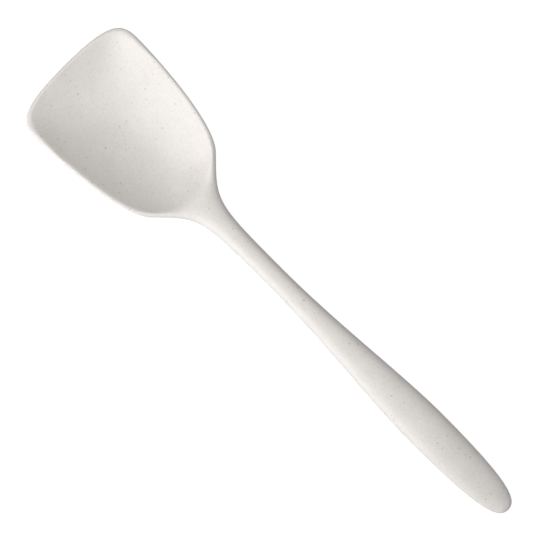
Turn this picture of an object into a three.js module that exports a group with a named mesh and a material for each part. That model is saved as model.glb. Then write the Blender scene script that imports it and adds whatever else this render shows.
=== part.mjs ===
// A cooking spoon moulded in one piece: a broad bowl with a nearly straight front edge, a slim neck and
// shaft, and a grip that swells and ends in a round butt. The moulding is divided at three square
// cross-sections into bowl, neck, shaft and grip, which touch face to face.
// Millimetres. +X runs from the front edge to the butt, Y = 0 is the plane of symmetry, and +Z is up, with
// the hollow of the bowl open upwards. The origin lies on the table, under the middle of the length.

import * as THREE from 'three';
import { mergeVertices } from 'three/addons/utils/BufferGeometryUtils.js';

// Lengths along the spoon. The shaft takes what the other three stretches leave.
const LENGTH = 300;
const BOWL_LENGTH = 98;
const NECK_LENGTH = 44;
const GRIP_LENGTH = 105;

// The outline seen from above: widths, and where they lie.
const BOWL_WIDTH = 68;
const BOWL_WIDEST_AT = 15; // behind the front edge
const HEEL_WIDTH = 44; // where the outline turns from bulging to hollow
const HEEL_AT = 18; // in front of the end of the bowl
const HEEL_ANGLE = 44.5; // degrees that the outline slants inwards there
const NECK_WIDTH = 10.2; // at the slimmest section, where the neck meets the shaft
const GRIP_WIDTH = 20.2;
const GRIP_WIDEST_AT = 56; // in front of the butt

// How far the outline keeps its direction on either side of those places.
const FRONT_REACH = 29.9;
const CORNER_REACH = 10.3;
const SIDE_REACH = 8;
const HEEL_REACH = 14.8;
const SWEEP_REACH = 23.5;
const NECK_REACH = 46;
const SHAFT_REACH = 38;
const SWELL_REACH = 27;
const TAPER_REACH = 49;
const BUTT_REACH = 6.2;

// Heights of the outline above the table, seen from the side.
const CORNER_HEIGHT = 12; // at the widest place, behind the front corners
const SIDE_HEIGHT = 15; // where the sides of the bowl are highest
const SIDE_HIGHEST_AT = 47; // behind the front edge
const NECK_HEIGHT = 8; // where the neck leaves the bowl
const ARCH_HEIGHT = 12; // at the top of the shaft's arch
const ARCH_AT = 168; // behind the front edge
const GRIP_LOW_AT = 4; // in front of the butt, where the grip has come down to the table

// The hollow of the bowl.
const WALL = 2.6;
const LIP_RISE = 13; // of the hollow, from its floor to the front edge
const LIP_RUN = 28; // length of that rise
const HEEL_RUN = 32; // in front of the end of the bowl, where the floor starts to rise to the neck
const HEEL_RADIUS = 25; // of that rise
const FRONT_FULLNESS = 5; // power of the curve across the front: flat in the middle, steep at the corners
const FRONT_RUN = 23; // behind the widest place, where the bowl has become an even dish
const SIDE_FULLNESS = 2; // power of the curve across that dish
const HEEL_FULLNESS = 3; // power of the curve across the heel

// The edge of the bowl: a lip in front, a rim along the sides, and flanks along the heel.
const LIP_ROUND = 1.8; // how far in from the outline the lip is rounded, and half its thickness
const LIP_DROP = 3.2; // outline below the place where the hollow's own surface would meet it
const LIP_BLEND = 0.3; // softens the crest between the hollow and the lip
const CORNER_POWER = 6; // how closely round the corners the lip thickens into the rim
const RIM_ROUND = 2;
const RIM_DROP = 3.9;
const RIM_BLEND = 0.9;
const RIM_POWER = 4; // of the bowl's rounded edges, squarer than elsewhere
const FLANK_ROUND = 9;
const FLANK_DROP = 6.2;
const FLANK_BLEND = 1.5; // softens the underside along the rim
const FLANK_START = 68; // behind the front edge, where the rim starts to turn into the flanks
const FLANK_END = 86;
const SADDLE_BLEND = 6; // softens the crest where the hollow runs out into the neck
const KEEL_BLEND = 4; // softens the underside where the bowl runs into the neck

// Thicknesses of the rest, and the flats that the spoon lies on.
const NECK_THICKNESS = 8.8;
const GRIP_THICKNESS = 10.6;
const BUTT_THICKNESS = 6.2;
const BUTT_ROUND = 9; // how far in from the outline the butt is rounded
const EDGE_POWER = 2.4; // of the other rounded edges: 2 would be an ellipse, more is squarer
const REST_FLAT = 0.5; // how much of the bowl's round underside its flat cuts off
const GRIP_FLAT = 1; // how much of the grip's underside its flat cuts off

// How finely the surface is divided.
const AROUND = 48; // points around a section
const SPAN_POINTS = 40; // points on each span of the outline
const FRONT_STATIONS = 14; // sections that bow forwards along the front edge
const BOWL_STATIONS = 26;
const NECK_STATIONS = 12;
const SHAFT_STATIONS = 8;
const GRIP_STATIONS = 15;
const BUTT_STATIONS = 8;
const BOW_RUN = 15; // behind the widest place, where the sections have become straight
const PROBE = 0.01; // step for reading slopes
const MERGE = 1e-4; // points closer than this are one point

const { smoothstep, lerp, clamp, degToRad } = THREE.MathUtils;
const NECK_END = BOWL_LENGTH + NECK_LENGTH;
const GRIP_START = LENGTH - GRIP_LENGTH;
const GRIP_WIDEST = LENGTH - GRIP_WIDEST_AT;
const GRIP_LOW = LENGTH - GRIP_LOW_AT;
const NECK_UNDER = NECK_HEIGHT - NECK_THICKNESS / 2;

// Half of the outline, from the middle of the front edge to the middle of the butt: x along, y across.
const point = (along, across) => new THREE.Vector2(along, across);
const heel = point(BOWL_LENGTH - HEEL_AT, HEEL_WIDTH / 2);
const slant = point(Math.cos(degToRad(HEEL_ANGLE)), -Math.sin(degToRad(HEEL_ANGLE)));
const widest = point(BOWL_WIDEST_AT, BOWL_WIDTH / 2);
const slimmest = point(NECK_END, NECK_WIDTH / 2);
const fullest = point(GRIP_WIDEST, GRIP_WIDTH / 2);
const ahead = (from, reach, direction = point(1, 0)) => from.clone().addScaledVector(direction, reach);

const outline = [
  [point(0, 0), point(0, FRONT_REACH), ahead(widest, -CORNER_REACH), widest],
  [widest, ahead(widest, SIDE_REACH), ahead(heel, -HEEL_REACH, slant), heel],
  [heel, ahead(heel, SWEEP_REACH, slant), ahead(slimmest, -NECK_REACH), slimmest],
  [slimmest, ahead(slimmest, SHAFT_REACH), ahead(fullest, -SWELL_REACH), fullest],
  [fullest, ahead(fullest, TAPER_REACH), point(LENGTH, BUTT_REACH), point(LENGTH, 0)],
].map((ends) => new THREE.CubicBezierCurve(...ends).getPoints(SPAN_POINTS));
const frontEdge = outline[0];
const sideEdge = outline.slice(1).flat();
const edgeLines = outline.flatMap((span) => span.slice(1).map((end, i) => (
  new THREE.Line3(new THREE.Vector3(...span[i]), new THREE.Vector3(...end))
)));

// Reads a line of points at a place: the value of one coordinate where the other one reaches it.
function readLine(line, known, wanted, place) {
  const next = line.findIndex((p) => p[known] >= place);
  if (next <= 0) return line.at(next)[wanted];
  const [a, b] = [line[next - 1], line[next]];
  return lerp(a[wanted], b[wanted], (place - a[known]) / (b[known] - a[known]));
}
const halfWidth = (along) => readLine(sideEdge, 'x', 'y', along);
const frontAt = (across) => readLine(frontEdge, 'y', 'x', across);

// How far a point of the plan lies in from the outline.
function insetAt(along, across) {
  const place = new THREE.Vector3(along, Math.abs(across), 0);
  const nearest = new THREE.Vector3();
  const gaps = edgeLines.map((line) => line.closestPointToPoint(place, true, nearest).distanceTo(place));
  const inset = Math.min(...gaps);
  return inset < MERGE ? 0 : inset;
}

// A rounded edge, squarer for a higher power: 0 on the outline, 1 from the given width inwards.
const roundIn = (inset, width, power) => (1 - (1 - Math.min(inset / width, 1)) ** power) ** (1 / power);

// The lower of two heights, with the corner between them softened.
function softMin(a, b, blend) {
  const near = Math.max(blend - Math.abs(a - b), 0) / blend;
  return Math.min(a, b) - near ** 2 * blend / 4;
}

// How far a station bows forwards: 1 on the front edge, 0 where the stations are straight.
const bow = (station) => Math.max(1 - (station - BOWL_WIDEST_AT) / BOW_RUN, 0);
const alongAt = (station, share) => (
  station - bow(station) * (BOWL_WIDEST_AT - frontAt(Math.abs(share) * BOWL_WIDTH / 2))
);

// How far the rim has turned into the flanks of the heel, from 0 to 1.
const flankShare = (station) => smoothstep(station, FLANK_START, FLANK_END);

// How far the flanks have risen into the neck, from 0 to 1.
const saddleShare = (station) => smoothstep(station, FLANK_START, BOWL_LENGTH);

// How square the rounded edges are, from the bowl's rim to the neck.
const edgePower = (station) => lerp(RIM_POWER, EDGE_POWER, saddleShare(station));

// A size of the edge, which changes from the lip round the corners to the rim.
function edgeSize(station, share, lip, rim) {
  const corner = Math.abs(share) ** CORNER_POWER;
  return lerp(rim, lerp(lip, rim, corner), bow(station));
}

// How near a station is to the front corners: 1 there, 0 where the sides are highest.
const foreShare = (station) => (
  clamp((SIDE_HIGHEST_AT - station) / (SIDE_HIGHEST_AT - BOWL_WIDEST_AT), 0, 1) ** 2
);

// How far the outline lies below the place where the hollow's own surface would meet it.
const edgeDrop = (station) => (
  lerp(lerp(RIM_DROP, LIP_DROP, foreShare(station)), FLANK_DROP, flankShare(station))
);

// Half thickness of the edge, neck, shaft and grip, above and below the outline.
function halfThickness(station, share) {
  const edge = edgeSize(station, share, LIP_ROUND, RIM_ROUND);
  const neck = lerp(edge, NECK_THICKNESS / 2, saddleShare(station));
  const swell = lerp(neck, GRIP_THICKNESS / 2, smoothstep(station, NECK_END, GRIP_WIDEST));
  return lerp(swell, BUTT_THICKNESS / 2, smoothstep(station, GRIP_WIDEST, LENGTH));
}

// Height of the outline at a station.
function outlineHeight(station) {
  const behind = clamp((station - ARCH_AT) / (GRIP_LOW - ARCH_AT), 0, 1);
  const side = lerp(SIDE_HEIGHT, CORNER_HEIGHT, foreShare(station));
  const neck = lerp(side, NECK_HEIGHT, smoothstep(station, SIDE_HIGHEST_AT, BOWL_LENGTH));
  const arch = lerp(neck, ARCH_HEIGHT, smoothstep(station, BOWL_LENGTH, ARCH_AT));
  return lerp(arch, halfThickness(station, 1) - GRIP_FLAT, behind ** 2);
}

// Height of the hollow's floor along the middle.
function floorAt(along) {
  const lip = LIP_RISE * Math.max(1 - along / LIP_RUN, 0) ** 2;
  const rise = Math.max(along - (BOWL_LENGTH - HEEL_RUN), 0);
  return WALL - REST_FLAT + lip + rise ** 2 / (2 * HEEL_RADIUS);
}

// Height of the hollow's own surface, at a share of the half width from -1 to 1.
function hollowAt(station, share) {
  const front = Math.max(1 - (station - BOWL_WIDEST_AT) / FRONT_RUN, 0) ** 2;
  const fullness = lerp(lerp(SIDE_FULLNESS, FRONT_FULLNESS, front), HEEL_FULLNESS, flankShare(station));
  const floor = floorAt(alongAt(station, 0));
  return lerp(floor, outlineHeight(station) + edgeDrop(station), Math.abs(share) ** fullness);
}

// Thickness of the bowl's wall measured straight down, so that it is WALL square to the surface.
function wallAt(station, share) {
  const run = alongAt(station + PROBE, share) - alongAt(station - PROBE, share);
  const climb = hollowAt(station + PROBE, share) - hollowAt(station - PROBE, share);
  const bank = hollowAt(station, share + PROBE) - hollowAt(station, share - PROBE);
  return WALL * Math.hypot(1, climb / run, bank / (2 * PROBE * halfWidth(station)));
}

// How far in from the outline the edges are rounded.
function edgeRound(station, share) {
  const half = halfWidth(station);
  if (station > GRIP_WIDEST) return Math.max(half, BUTT_ROUND);
  if (station > NECK_END) return half;
  const rim = edgeSize(station, share, LIP_ROUND, RIM_ROUND);
  return lerp(rim, Math.min(half, FLANK_ROUND), flankShare(station));
}

// Height of the top or the underside.
function surfaceAt(station, share, isTop) {
  const inset = insetAt(alongAt(station, share), halfWidth(station) * share);
  const rounding = roundIn(inset, edgeRound(station, share), edgePower(station));
  const frontHeight = hollowAt(BOWL_WIDEST_AT, share) - LIP_DROP;
  const edge = lerp(outlineHeight(station), frontHeight, bow(station));
  const half = halfThickness(station, share);
  const hollow = hollowAt(station, share);
  if (isTop) {
    const crest = edgeSize(station, share, LIP_BLEND, RIM_BLEND);
    const blend = lerp(crest, SADDLE_BLEND, saddleShare(station) ** 3);
    return softMin(hollow, edge + half * rounding, blend);
  }
  if (station >= BOWL_LENGTH) return Math.max(edge - half * rounding, 0);
  const shell = hollow - wallAt(station, share);
  const keel = lerp(edge - half, NECK_UNDER, flankShare(station));
  const under = softMin(shell, keel, lerp(FLANK_BLEND, KEEL_BLEND, flankShare(station)));
  return Math.max(lerp(edge, under, rounding), 0);
}

// One closed section. Its ends lie on the outline at `station`, and near the front its middle bows forwards,
// so that the first section is the front edge itself.
function section(station) {
  return Array.from({ length: AROUND }, (_, i) => {
    const angle = 2 * Math.PI * i / AROUND;
    const share = Math.cos(angle);
    const height = surfaceAt(station, share, i < AROUND / 2);
    return [alongAt(station, share) - LENGTH / 2, halfWidth(station) * share, height];
  });
}

// Skins a row of sections and closes the ends that are flat cuts.
function loft(stations, { startCut, endCut }) {
  const sections = stations.map(section);
  const positions = [];
  const quad = (a, b, c, d) => positions.push(a, b, c, a, c, d);
  for (let s = 1; s < sections.length; s += 1) {
    const [from, to] = [sections[s - 1], sections[s]];
    from.forEach((corner, i) => {
      const next = (i + 1) % AROUND;
      quad(corner, from[next], to[next], to[i]);
    });
  }
  const cut = (ring, order) => {
    for (let i = 0; i < AROUND / 2; i += 1) {
      const corners = [ring[i], ring[i + 1], ring[AROUND - 1 - i], ring[(AROUND - i) % AROUND]];
      quad(...(order > 0 ? corners : corners.reverse()));
    }
  };
  if (startCut) cut(sections[0], -1);
  if (endCut) cut(sections.at(-1), 1);
  return closedGeometry(positions.flat());
}

// Merges shared corners and drops the triangles that have shrunk to a line or a point.
function closedGeometry(positions) {
  const loose = new THREE.BufferGeometry();
  loose.setAttribute('position', new THREE.Float32BufferAttribute(positions, 3));
  const merged = mergeVertices(loose, MERGE);
  const index = [...merged.index.array];
  const kept = [];
  for (let i = 0; i < index.length; i += 3) {
    const [a, b, c] = index.slice(i, i + 3);
    if (a !== b && b !== c && c !== a) kept.push(a, b, c);
  }
  merged.setIndex(kept);
  merged.computeVertexNormals();
  return merged;
}

// Places from start to end, spaced evenly or closing up towards the start or the end.
function spread(start, end, count, ease = (t) => t) {
  return Array.from({ length: count + 1 }, (_, i) => lerp(start, end, ease(i / count)));
}
const gatherAtStart = (t) => t ** 2;
const gatherAtEnd = (t) => 1 - (1 - t) ** 2;

const bowStart = BOWL_WIDEST_AT + BOW_RUN;
const stretches = {
  bowl: {
    stations: [
      ...spread(BOWL_WIDEST_AT, bowStart, FRONT_STATIONS, gatherAtStart),
      ...spread(bowStart, BOWL_LENGTH, BOWL_STATIONS).slice(1),
    ],
    endCut: true,
  },
  neck: {
    stations: spread(BOWL_LENGTH, NECK_END, NECK_STATIONS, gatherAtStart),
    startCut: true,
    endCut: true,
  },
  shaft: { stations: spread(NECK_END, GRIP_START, SHAFT_STATIONS), startCut: true, endCut: true },
  grip: {
    stations: [
      ...spread(GRIP_START, LENGTH - BUTT_ROUND, GRIP_STATIONS),
      ...spread(LENGTH - BUTT_ROUND, LENGTH, BUTT_STATIONS, gatherAtEnd).slice(1),
    ],
    startCut: true,
  },
};

const resin = new THREE.MeshStandardMaterial({ color: 0xe4e1db, roughness: 0.5, metalness: 0 });
const spoon = new THREE.Group();
for (const [name, { stations, ...cuts }] of Object.entries(stretches)) {
  const mesh = new THREE.Mesh(loft(stations, cuts), resin);
  mesh.name = name;
  spoon.add(mesh);
}

export default spoon;
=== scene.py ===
# A speckled off-white cooking spoon, moulded in one piece, lying on its back on a pale floor and seen from
# straight above. Each zone of the moulding is one smooth skin in place of its CAD node.

import math

import bmesh
import bpy
import numpy as np
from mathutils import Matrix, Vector
from mathutils.geometry import interpolate_bezier


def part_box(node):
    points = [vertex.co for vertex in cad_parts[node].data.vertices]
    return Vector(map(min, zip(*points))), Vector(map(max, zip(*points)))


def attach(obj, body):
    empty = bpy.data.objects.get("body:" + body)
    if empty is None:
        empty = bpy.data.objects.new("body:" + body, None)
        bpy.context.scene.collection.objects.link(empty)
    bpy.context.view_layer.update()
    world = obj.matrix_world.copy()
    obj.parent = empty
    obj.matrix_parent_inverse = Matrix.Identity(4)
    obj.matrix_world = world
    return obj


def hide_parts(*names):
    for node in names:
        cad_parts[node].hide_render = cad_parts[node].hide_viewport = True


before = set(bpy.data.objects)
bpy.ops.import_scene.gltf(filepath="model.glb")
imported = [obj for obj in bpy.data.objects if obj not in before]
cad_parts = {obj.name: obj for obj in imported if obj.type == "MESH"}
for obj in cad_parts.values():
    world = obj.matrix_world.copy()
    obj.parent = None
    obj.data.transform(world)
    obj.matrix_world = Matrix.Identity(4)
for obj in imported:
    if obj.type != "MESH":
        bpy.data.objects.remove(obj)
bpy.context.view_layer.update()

MM = 0.001


# Sizes in millimetres, the same as the part's own. Lengths run along the spoon from the front edge, and
# CREST_TOP is the height that the skin keeps below.

def node_size(node, axis):
    low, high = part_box(node)
    return (high[axis] - low[axis]) / MM


BOWL_LENGTH = node_size("bowl", 0)
NECK_END = BOWL_LENGTH + node_size("neck", 0)
GRIP_START = NECK_END + node_size("shaft", 0)
LENGTH = GRIP_START + node_size("grip", 0)
BOWL_WIDTH = node_size("bowl", 1)
GRIP_WIDTH = node_size("grip", 1)
CREST_TOP = node_size("bowl", 2)
GRIP_WIDEST_AT = 56
GRIP_WIDEST = LENGTH - GRIP_WIDEST_AT
BOWL_WIDEST_AT = 15
HEEL_WIDTH = 44
HEEL_AT = 18
HEEL_ANGLE = math.radians(44.5)
NECK_WIDTH = 10.2

# How far the outline keeps its direction on either side of the places above.
FRONT_REACH = 29.9
CORNER_REACH = 10.3
SIDE_REACH = 8
HEEL_REACH = 14.8
SWEEP_REACH = 23.5
NECK_REACH = 46
SHAFT_REACH = 38
SWELL_REACH = 27
TAPER_REACH = 49
BUTT_REACH = 6.2

# Heights of the outline above the floor.
CORNER_HEIGHT = 12
SIDE_HEIGHT = 15
SIDE_HIGHEST_AT = 47
NECK_HEIGHT = 8
ARCH_HEIGHT = 12
ARCH_AT = 168
GRIP_LOW_AT = 4
GRIP_LOW = LENGTH - GRIP_LOW_AT

# The hollow of the bowl.
WALL = 2.6
LIP_RISE = 13
LIP_RUN = 28
HEEL_RUN = 32
HEEL_RADIUS = 25
FRONT_FULLNESS = 5
FRONT_RUN = 23
SIDE_FULLNESS = 2
HEEL_FULLNESS = 3

# The rim of the bowl, and the flanks that it turns into along the heel.
LIP_ROUND = 1.8
LIP_DROP = 3.2
LIP_BLEND = 0.3
CORNER_POWER = 6
RIM_ROUND = 2
RIM_DROP = 3.9
RIM_BLEND = 0.9
RIM_POWER = 4
FLANK_ROUND = 9
FLANK_DROP = 6.2
FLANK_BLEND = 1.5
FLANK_START = 68
FLANK_END = 86
SADDLE_BLEND = 6
KEEL_BLEND = 4

# Thicknesses of the rest, and the flats that the spoon lies on.
NECK_THICKNESS = 8.8
GRIP_THICKNESS = 10.6
BUTT_THICKNESS = 6.2
BUTT_ROUND = 9
EDGE_POWER = 2.4
NECK_UNDER = NECK_HEIGHT - NECK_THICKNESS / 2
REST_FLAT = 0.5
GRIP_FLAT = 1

# How finely the skin is divided.
SPAN_POINTS = 160
AROUND = 192
BOW_RUN = 15
PROBE = 0.01
MERGE = 0.001


# The form.

def ease(place, start, end):
    share = np.clip((place - start) / (end - start), 0, 1)
    return share * share * (3 - 2 * share)


def mix(a, b, share):
    return a + (b - a) * share


def outline_spans():
    """Half of the outline seen from above, in five curves from the front edge to the butt."""
    slant = Vector((math.cos(HEEL_ANGLE), -math.sin(HEEL_ANGLE)))
    ahead = Vector((1, 0))
    front = Vector((0, 0))
    widest = Vector((BOWL_WIDEST_AT, BOWL_WIDTH / 2))
    heel = Vector((BOWL_LENGTH - HEEL_AT, HEEL_WIDTH / 2))
    slimmest = Vector((NECK_END, NECK_WIDTH / 2))
    fullest = Vector((GRIP_WIDEST, GRIP_WIDTH / 2))
    butt = Vector((LENGTH, 0))
    curves = [
        (front, front + Vector((0, FRONT_REACH)), widest - ahead * CORNER_REACH, widest),
        (widest, widest + ahead * SIDE_REACH, heel - slant * HEEL_REACH, heel),
        (heel, heel + slant * SWEEP_REACH, slimmest - ahead * NECK_REACH, slimmest),
        (slimmest, slimmest + ahead * SHAFT_REACH, fullest - ahead * SWELL_REACH, fullest),
        (fullest, fullest + ahead * TAPER_REACH, butt + Vector((0, BUTT_REACH)), butt),
    ]
    return [np.array(interpolate_bezier(*curve, SPAN_POINTS)) for curve in curves]


SPANS = outline_spans()
FRONT_EDGE = SPANS[0]
SIDE_EDGE = np.concatenate([SPANS[1]] + [span[1:] for span in SPANS[2:]])
WHOLE_EDGE = np.concatenate([FRONT_EDGE, SIDE_EDGE[1:]])


def half_width(station):
    return np.interp(station, SIDE_EDGE[:, 0], SIDE_EDGE[:, 1])


def front_at(across):
    return np.interp(across, FRONT_EDGE[:, 1], FRONT_EDGE[:, 0])


def inset_at(along, across):
    """How far points of the plan lie in from the outline."""
    place = np.stack([along, np.abs(across)], -1)
    least = np.full(len(place), np.inf)
    for start, end in zip(WHOLE_EDGE[:-1], WHOLE_EDGE[1:]):
        run = end - start
        share = np.clip((place - start) @ run / (run @ run), 0, 1)
        least = np.minimum(least, np.linalg.norm(place - start - share[:, None] * run, axis=1))
    return np.where(least < MERGE, 0, least)


def round_in(inset, width, power):
    """A rounded edge, squarer for a higher power: 0 on the outline, 1 from the given width inwards."""
    return (1 - (1 - np.minimum(inset / width, 1)) ** power) ** (1 / power)


def soft_min(a, b, blend):
    """The lower of two heights, with the corner between them softened."""
    near = np.maximum(blend - np.abs(a - b), 0) / blend
    return np.minimum(a, b) - near ** 2 * blend / 4


def bow(station):
    """How far a station bows forwards: 1 on the front edge, 0 where the stations are straight."""
    return np.maximum(1 - (station - BOWL_WIDEST_AT) / BOW_RUN, 0)


def along_at(station, share):
    return station - bow(station) * (BOWL_WIDEST_AT - front_at(np.abs(share) * BOWL_WIDTH / 2))


def flank_share(station):
    """How far the rim has turned into the flanks of the heel, from 0 to 1."""
    return ease(station, FLANK_START, FLANK_END)


def saddle_share(station):
    """How far the flanks have risen into the neck, from 0 to 1."""
    return ease(station, FLANK_START, BOWL_LENGTH)


def edge_power(station):
    """How square the rounded edges are: most round the bowl, and near an ellipse behind it."""
    return mix(RIM_POWER, EDGE_POWER, saddle_share(station))


def edge_size(station, share, lip, rim):
    """A size of the edge that changes from the front lip round the corners to the rim."""
    corner = np.minimum(np.abs(share), 1) ** CORNER_POWER
    return mix(rim, mix(lip, rim, corner), bow(station))


def fore_share(station):
    """How near a station is to the front corners: 1 there, 0 where the sides are highest."""
    return np.clip((SIDE_HIGHEST_AT - station) / (SIDE_HIGHEST_AT - BOWL_WIDEST_AT), 0, 1) ** 2


def edge_drop(station):
    """How far the outline lies below the place where the hollow's own surface would meet it."""
    return mix(mix(RIM_DROP, LIP_DROP, fore_share(station)), FLANK_DROP, flank_share(station))


def half_thickness(station, share):
    """Of the rim, flanks, neck, shaft and grip, above and below the outline."""
    half = mix(edge_size(station, share, LIP_ROUND, RIM_ROUND), NECK_THICKNESS / 2, saddle_share(station))
    half = mix(half, GRIP_THICKNESS / 2, ease(station, NECK_END, GRIP_WIDEST))
    return mix(half, BUTT_THICKNESS / 2, ease(station, GRIP_WIDEST, LENGTH))


def outline_height(station):
    height = mix(SIDE_HEIGHT, CORNER_HEIGHT, fore_share(station))
    height = mix(height, NECK_HEIGHT, ease(station, SIDE_HIGHEST_AT, BOWL_LENGTH))
    height = mix(height, ARCH_HEIGHT, ease(station, BOWL_LENGTH, ARCH_AT))
    fall = np.clip((station - ARCH_AT) / (GRIP_LOW - ARCH_AT), 0, 1) ** 2
    return mix(height, half_thickness(station, 1) - GRIP_FLAT, fall)


def hollow_at(station, share):
    """Height of the hollow's own surface, at a share of the half width from -1 to 1."""
    along = along_at(station, 0)
    lip = LIP_RISE * np.maximum(1 - along / LIP_RUN, 0) ** 2
    heel = np.maximum(along - (BOWL_LENGTH - HEEL_RUN), 0) ** 2 / (2 * HEEL_RADIUS)
    floor = WALL - REST_FLAT + lip + heel
    front = np.maximum(1 - (station - BOWL_WIDEST_AT) / FRONT_RUN, 0) ** 2
    fullness = mix(mix(SIDE_FULLNESS, FRONT_FULLNESS, front), HEEL_FULLNESS, flank_share(station))
    return mix(floor, outline_height(station) + edge_drop(station), np.abs(share) ** fullness)


def wall_at(station, share):
    """Thickness of the bowl's wall measured straight down."""
    run = along_at(station + PROBE, share) - along_at(station - PROBE, share)
    climb = hollow_at(station + PROBE, share) - hollow_at(station - PROBE, share)
    bank = hollow_at(station, share + PROBE) - hollow_at(station, share - PROBE)
    breadth = 2 * PROBE * np.maximum(half_width(station), MERGE)
    return WALL * np.sqrt(1 + (climb / run) ** 2 + (bank / breadth) ** 2)


def edge_round(station, share):
    """How far in from the outline the edges are rounded."""
    half = half_width(station)
    rim = edge_size(station, share, LIP_ROUND, RIM_ROUND)
    rim = mix(rim, np.minimum(half, FLANK_ROUND), flank_share(station))
    grip = np.where(station > GRIP_WIDEST, np.maximum(half, BUTT_ROUND), half)
    return np.where(station > NECK_END, grip, rim)


def skin_points(station, angle):
    """Places on the moulding's surface, in millimetres, for stations along it and angles round it."""
    share = np.cos(angle)
    along, across = along_at(station, share), half_width(station) * share
    rounding = round_in(inset_at(along, across), edge_round(station, share), edge_power(station))
    front = hollow_at(BOWL_WIDEST_AT, share) - LIP_DROP
    edge = mix(outline_height(station), front, bow(station))
    half = half_thickness(station, share)
    hollow = hollow_at(station, share)
    blend = mix(edge_size(station, share, LIP_BLEND, RIM_BLEND), SADDLE_BLEND, saddle_share(station) ** 3)
    top = np.minimum(soft_min(hollow, edge + half * rounding, blend), CREST_TOP)
    shell = np.where(station < BOWL_LENGTH, hollow - wall_at(station, share), np.inf)
    keel = np.where(station < BOWL_LENGTH, mix(edge - half, NECK_UNDER, flank_share(station)), edge - half)
    keel_blend = mix(FLANK_BLEND, KEEL_BLEND, flank_share(station))
    under = np.maximum(mix(edge, soft_min(shell, keel, keel_blend), rounding), 0)
    height = np.where(angle < math.pi, top, under)
    return np.stack([along - LENGTH / 2, across, height], -1)


def skin(node, start, end, rows):
    """One zone of the moulding: a sheet rolled into a tube between two stations, with its ends closed."""
    sheet = bmesh.new()
    bmesh.ops.create_grid(sheet, x_segments=rows, y_segments=AROUND, size=0.5)
    plan = np.array([v.co for v in sheet.verts]) + 0.5
    stations = mix(start, end, ease(plan[:, 0], 0, 1))
    for vert, place in zip(sheet.verts, skin_points(stations, 2 * math.pi * plan[:, 1])):
        vert.co = Vector(place) * MM
    bmesh.ops.remove_doubles(sheet, verts=sheet.verts, dist=MERGE * MM)
    ends = [edge for edge in sheet.edges if edge.is_boundary]
    bmesh.ops.holes_fill(sheet, edges=ends, sides=0)
    bmesh.ops.recalc_face_normals(sheet, faces=sheet.faces)
    for face in sheet.faces:
        face.smooth = True
    for edge in ends:
        edge.smooth = False
    mesh = bpy.data.meshes.new(f"{node}_skin")
    sheet.to_mesh(mesh)
    sheet.free()
    piece = bpy.data.objects.new(f"{node}_skin", mesh)
    bpy.context.scene.collection.objects.link(piece)
    return piece


# The finish. Lengths in metres, and scales in waves to the metre.

CLOUD_SCALE = 35
MOTTLE_SCALE = 140
STRAY_SCALE = 500
FILLER_SCALE = 900
GRAIN_SCALE = 2600
STRAY = 0.0012
RESIN_DARK = (0.62, 0.594, 0.565, 1)
RESIN_LIGHT = (0.81, 0.784, 0.755, 1)
HUSK = (0.30, 0.27, 0.235, 1)
DARK_HUSK = (0.27, 0.24, 0.205, 1)

# Fine, plain and bold flecks: their spacing, radius, the share that is kept, their strength and colour.
FLECKS = (
    (0.00115, 0.00036, 0.75, 0.18, HUSK),
    (0.0021, 0.00048, 0.7, 0.28, HUSK),
    (0.0032, 0.00058, 0.6, 0.5, DARK_HUSK),
)

# The strength of the faintest fleck beside the strongest, and the part of the radius that is full colour.
FAINTEST = 0.4
CORE = 0.4


class Wire:
    """An output socket of a material's nodes. Arithmetic on it adds Math nodes."""

    def __init__(self, tree, socket=None):
        self.tree, self.socket = tree, socket

    def node(self, kind, settings=None, sockets=None, output=0):
        made = self.tree.nodes.new(kind)
        for name, value in (settings or {}).items():
            setattr(made, name, value)
        for name, value in (sockets or {}).items():
            if isinstance(value, Wire):
                self.tree.links.new(value.socket, made.inputs[name])
            else:
                made.inputs[name].default_value = value
        return Wire(self.tree, made.outputs[output] if made.outputs else None)

    def maths(self, operation, first, second):
        return self.node("ShaderNodeMath", {"operation": operation}, {0: first, 1: second})

    def __add__(self, other):
        return self.maths("ADD", self, other)

    def __sub__(self, other):
        return self.maths("SUBTRACT", self, other)

    def __rsub__(self, other):
        return self.maths("SUBTRACT", other, self)

    def __mul__(self, other):
        return self.maths("MULTIPLY", self, other)

    __radd__ = __add__
    __rmul__ = __mul__


def flecks(place, spacing, radius, keep):
    """Flecks strewn through the resin: up to 1 in the core of each kept one, 0 between them."""
    cells = {"Vector": place, "Scale": 1 / spacing, "Randomness": 1.0}
    gap = place.node("ShaderNodeTexVoronoi", {"feature": "F1"}, cells, "Distance")
    chance = place.node("ShaderNodeTexVoronoi", {"feature": "F1"}, cells, "Color")
    red = place.node("ShaderNodeSeparateColor", {}, {"Color": chance}, "Red")
    green = place.node("ShaderNodeSeparateColor", {}, {"Color": chance}, "Green")
    inside = place.node("ShaderNodeMapRange", {"interpolation_type": "SMOOTHSTEP"}, {
        "Value": gap, "From Min": radius / spacing, "From Max": CORE * radius / spacing})
    kept = place.node("ShaderNodeMath", {"operation": "LESS_THAN"}, {0: red, 1: keep})
    return inside * kept * (FAINTEST + (1 - FAINTEST) * green)


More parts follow.
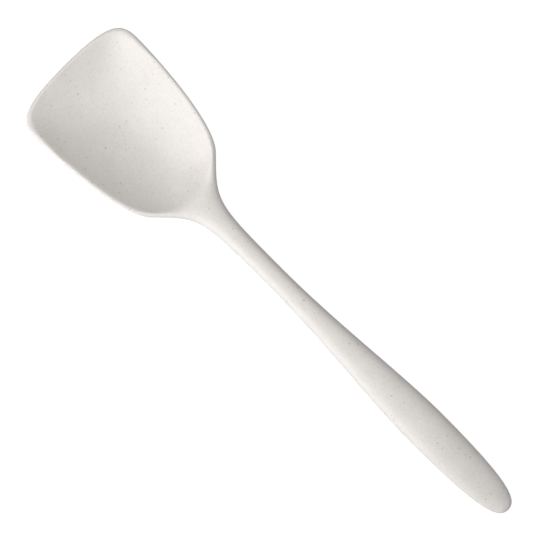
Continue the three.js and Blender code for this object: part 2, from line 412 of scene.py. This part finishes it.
def speckled_resin():
    finish = bpy.data.materials.new("speckled_resin")
    finish.use_nodes = True
    finish.node_tree.nodes.clear()
    start = Wire(finish.node_tree)
    place = start.node("ShaderNodeTexCoord", output="Object")

    def noise(scale, detail):
        return place.node(
            "ShaderNodeTexNoise", {}, {"Vector": place, "Scale": scale, "Detail": detail}, "Fac")

    def blend(share, first, second):
        return place.node("ShaderNodeMix", {"data_type": "RGBA"}, {
            "Factor": share, 6: first, 7: second}, 2)

    mottle = noise(MOTTLE_SCALE, 3.0)
    cloud = noise(CLOUD_SCALE, 2.0)
    filler = noise(FILLER_SCALE, 2.0)
    grain = noise(GRAIN_SCALE, 2.0)
    tone = blend(filler * 0.55 + mottle * 0.27 + cloud * 0.18, RESIN_DARK, RESIN_LIGHT)
    # The flecks are read from bent places, so that they come out a little uneven.
    stray = place.node(
        "ShaderNodeTexNoise", {}, {"Vector": place, "Scale": STRAY_SCALE, "Detail": 2.0}, "Color")
    bent = place.node("ShaderNodeVectorMath", {"operation": "MULTIPLY_ADD"}, {
        0: stray, 1: (STRAY, STRAY, STRAY), 2: place})
    for spacing, radius, keep, strength, colour in FLECKS:
        strewn = flecks(bent, spacing, radius, keep)
        tone = blend(strewn * strength, tone, colour)
    # The bold flecks, the last ones strewn, are a little glossier than the resin.
    satin = 0.44 + 0.1 * mottle - 0.06 * strewn
    relief = place.node("ShaderNodeBump", {}, {"Strength": 0.06, "Distance": 0.0002, "Height": grain})
    shader = place.node("ShaderNodeBsdfPrincipled", {}, {
        "Base Color": tone, "Roughness": satin, "Normal": relief, "IOR": 1.5})
    place.node("ShaderNodeOutputMaterial", {}, {"Surface": shader})
    return finish


def pale_floor_finish():
    finish = bpy.data.materials.new("pale_floor")
    finish.use_nodes = True
    finish.node_tree.nodes.clear()
    start = Wire(finish.node_tree)
    shader = start.node("ShaderNodeBsdfPrincipled", {}, {
        "Base Color": (0.2, 0.2, 0.2, 1), "Roughness": 0.9, "Specular IOR Level": 0.0,
        "Emission Color": (1, 1, 1, 1), "Emission Strength": 0.92})
    start.node("ShaderNodeOutputMaterial", {}, {"Surface": shader})
    return finish


resin = speckled_resin()

# Each zone's first and last station, and its rows of faces.
zones = {
    "bowl": (BOWL_WIDEST_AT, BOWL_LENGTH, 150),
    "neck": (BOWL_LENGTH, NECK_END, 60),
    "shaft": (NECK_END, GRIP_START, 50),
    "grip": (GRIP_START, LENGTH, 110),
}
for node, (start, end, rows) in zones.items():
    piece = skin(node, start, end, rows)
    piece.data.materials.append(resin)
    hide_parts(node)
    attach(piece, "root")


# The studio.

FLOOR_SIZE = 40.0
FLOOR_GAP = 0.0001
LIGHT_SIZE = 0.5
BOWL_MIDDLE = (-0.1, 0, 0)

sheet = bmesh.new()
bmesh.ops.create_grid(sheet, x_segments=1, y_segments=1, size=FLOOR_SIZE / 2)
bmesh.ops.translate(sheet, verts=sheet.verts, vec=(0, 0, -FLOOR_GAP))
floor_mesh = bpy.data.meshes.new("floor")
sheet.to_mesh(floor_mesh)
sheet.free()
floor_mesh.materials.append(pale_floor_finish())
floor = bpy.data.objects.new("floor", floor_mesh)
bpy.context.scene.collection.objects.link(floor)
# The floor is only seen. It throws no light back at the spoon.
floor.visible_diffuse = False
floor.visible_glossy = False


def aim(thing, place, target):
    thing.location = place
    thing.rotation_euler = (Vector(target) - Vector(place)).to_track_quat("-Z", "Y").to_euler()


def soft_light(name, place, power):
    lamp = bpy.data.lights.new(name, "AREA")
    lamp.shape = "SQUARE"
    lamp.size = LIGHT_SIZE
    lamp.energy = power
    light = bpy.data.objects.new(name, lamp)
    bpy.context.scene.collection.objects.link(light)
    aim(light, place, BOWL_MIDDLE)


soft_light("low_side", (-0.1, -0.685, 0.146), 1.85)
soft_light("mid_side", (-0.1, -0.536, 0.45), 1.46)
soft_light("high_side", (-0.1, -0.239, 0.658), 1.32)
soft_light("front_side", (-0.549, -0.449, 0.296), 1.2)
soft_light("back_side", (0.349, -0.449, 0.296), 0.8)
soft_light("fill", (-0.1, 0.45, 0.536), 1.13)

world = bpy.data.worlds.new("studio")
world.use_nodes = True
glow = world.node_tree.nodes["Background"].inputs
glow["Color"].default_value = (1, 0.982, 0.985, 1)
glow["Strength"].default_value = 0.267
bpy.context.scene.world = world
bpy.context.scene.view_settings.view_transform = "Standard"

# The photograph looks straight down, with the spoon turned 45 degrees. Its frame is 257.8 mm across.
LENS = 200
SENSOR = 36
FRAME_ACROSS = 0.2578
FRAME_MIDDLE = (-0.012, 0.00054, 0.008)
lens = bpy.data.cameras.new("camera")
lens.lens = LENS
lens.sensor_width = SENSOR
camera = bpy.data.objects.new("camera", lens)
camera.location = Vector(FRAME_MIDDLE) + Vector((0, 0, FRAME_ACROSS * LENS / SENSOR))
camera.rotation_euler = (0, 0, math.radians(45))
bpy.context.scene.collection.objects.link(camera)
bpy.context.scene.camera = camera
